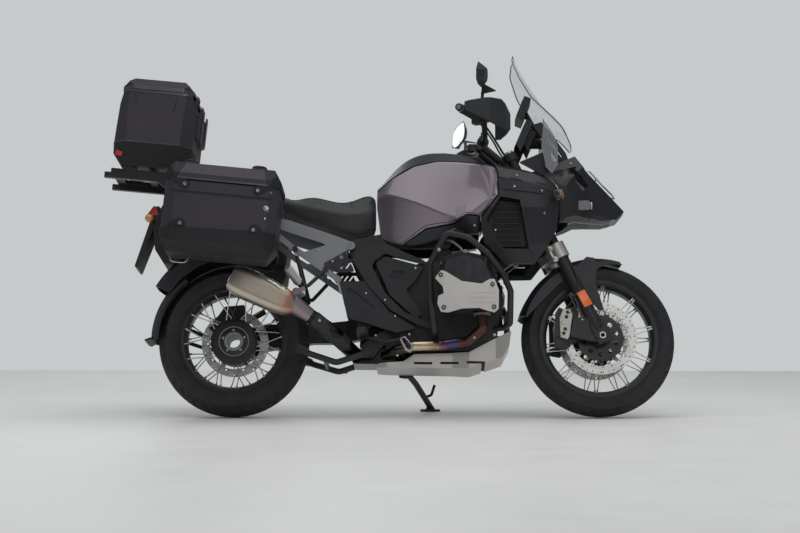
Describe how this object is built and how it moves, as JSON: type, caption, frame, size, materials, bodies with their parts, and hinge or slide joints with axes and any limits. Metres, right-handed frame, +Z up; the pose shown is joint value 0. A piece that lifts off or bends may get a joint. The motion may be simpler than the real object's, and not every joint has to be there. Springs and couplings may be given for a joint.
{
  "type": "adventure motorcycle",
  "caption": "Large adventure motorcycle with flat twin engine, wire wheels, crash bars and hard luggage cases, leaning on its side stand.",
  "frame": {"origin": "centre of the parked machine's footprint box, on the ground", "axes": "+X forward along the machine, +Y to its left, +Z up; it leans to +Y on its side stand"},
  "size_m": [2.41, 1.1008, 1.5345],
  "materials": {
    "tank_paint": "metallic gloss",
    "gloss_trim": "gloss",
    "matte_trim": "grained",
    "case_panel": "matt",
    "bare_aluminium": "brushed",
    "frame_silver": "satin",
    "frame_black": "satin",
    "engine_black": "matt",
    "bare_steel": "ground",
    "header_steel": "heat tinted",
    "muffler_steel": "satin",
    "tyre_rubber": "matt",
    "seat_cover": "grained",
    "clear_screen": "clear",
    "lamp_glass": "clear"
  },
  "bodies": {
    "chassis": {"crankcase": "engine_black", "cylinders": "engine_black", "head_guards": "bare_aluminium", "crash_bars": "frame_black", "skid_plate": "bare_aluminium", "exhaust_pipes": "header_steel", "muffler": "muffler_steel", "main_frame": "frame_black", "rear_frame": "frame_silver", "front_arm": "frame_black", "swing_arm": "frame_black", "rear_mudguard": "matte_trim", "fuel_tank": "tank_paint", "tank_trims": "gloss_trim", "radiator_shrouds": "gloss_trim", "radiators": "matte_trim", "nose_fairing": "gloss_trim", "front_lamps": "lamp_glass", "windscreen": "clear_screen", "screen_carrier": "matte_trim", "lamp_guard": "bare_steel", "rider_seat": "seat_cover", "pillion_seat": "seat_cover", "side_covers": "matte_trim", "foot_pegs": "bare_steel", "tail_unit": "matte_trim", "luggage_rack": "frame_black", "side_case_bodies": "case_panel", "top_case_body": "case_panel"},
    "steering": {"fork_sliders": "frame_black", "fork_bridge": "bare_aluminium", "fork_tubes": "frame_black", "bar_clamps": "frame_black", "front_axle": "bare_steel", "front_calipers": "bare_aluminium", "front_mudguard": "gloss_trim", "handlebar": "frame_black", "hand_guards": "matte_trim", "mirrors": "gloss_trim"},
    "front_wheel": {"front_rim": "frame_black", "front_tyre": "tyre_rubber", "front_discs": "bare_steel"},
    "rear_wheel": {"rear_rim": "frame_black", "rear_tyre": "tyre_rubber", "rear_disc": "bare_steel"},
    "left_lid": {"left_case_lid": "case_panel"},
    "right_lid": {"right_case_lid": "case_panel"},
    "top_lid": {"top_case_lid": "case_panel"},
    "side_stand": {"side_stand": "frame_black"},
    "centre_stand": {"centre_stand": "frame_black"}
  },
  "joints": [
    {"name": "steering_turn", "type": "hinge", "parent": "chassis", "child": "steering", "pos_m": [0.55744, -0.02237, 0.88516], "axis": [-0.4415, 0.1712, 0.8808], "range_deg": [-42, 30]},
    {"name": "front_wheel_spin", "type": "hinge", "parent": "steering", "child": "front_wheel", "pos_m": [0.88132, -0.12832, 0.3199], "axis": [-0.0938, 0.9674, -0.2351], "continuous": true},
    {"name": "rear_wheel_spin", "type": "hinge", "parent": "chassis", "child": "rear_wheel", "pos_m": [-0.6525, -0.13342, 0.31386], "axis": [0, 0.9816, -0.1908], "continuous": true},
    {"name": "left_lid_hinge", "type": "hinge", "parent": "chassis", "child": "left_lid", "pos_m": [-0.43265, 0.32258, 0.79403], "axis": [0, 0.9816, -0.1908], "range_deg": [0, 90]},
    {"name": "right_lid_hinge", "type": "hinge", "parent": "chassis", "child": "right_lid", "pos_m": [-0.43265, -0.37634, 0.92988], "axis": [0, 0.9816, -0.1908], "range_deg": [0, 90]},
    {"name": "top_lid_hinge", "type": "hinge", "parent": "chassis", "child": "top_lid", "pos_m": [-0.81771, 0.06421, 1.33061], "axis": [0, 0.9816, -0.1908], "range_deg": [0, 95]},
    {"name": "side_stand_hinge", "type": "hinge", "parent": "chassis", "child": "side_stand", "pos_m": [0.0695, -0.00368, 0.18473], "axis": [0.2788, 0.5171, 0.8093], "range_deg": [0, 95.2]},
    {"name": "centre_stand_hinge", "type": "hinge", "parent": "chassis", "child": "centre_stand", "pos_m": [-0.0865, -0.14563, 0.25103], "axis": [0, 0.9816, -0.1908], "range_deg": [-94, 0], "stiffness_Nm_per_rad": 14, "springref_deg": 68.75}
  ]
}
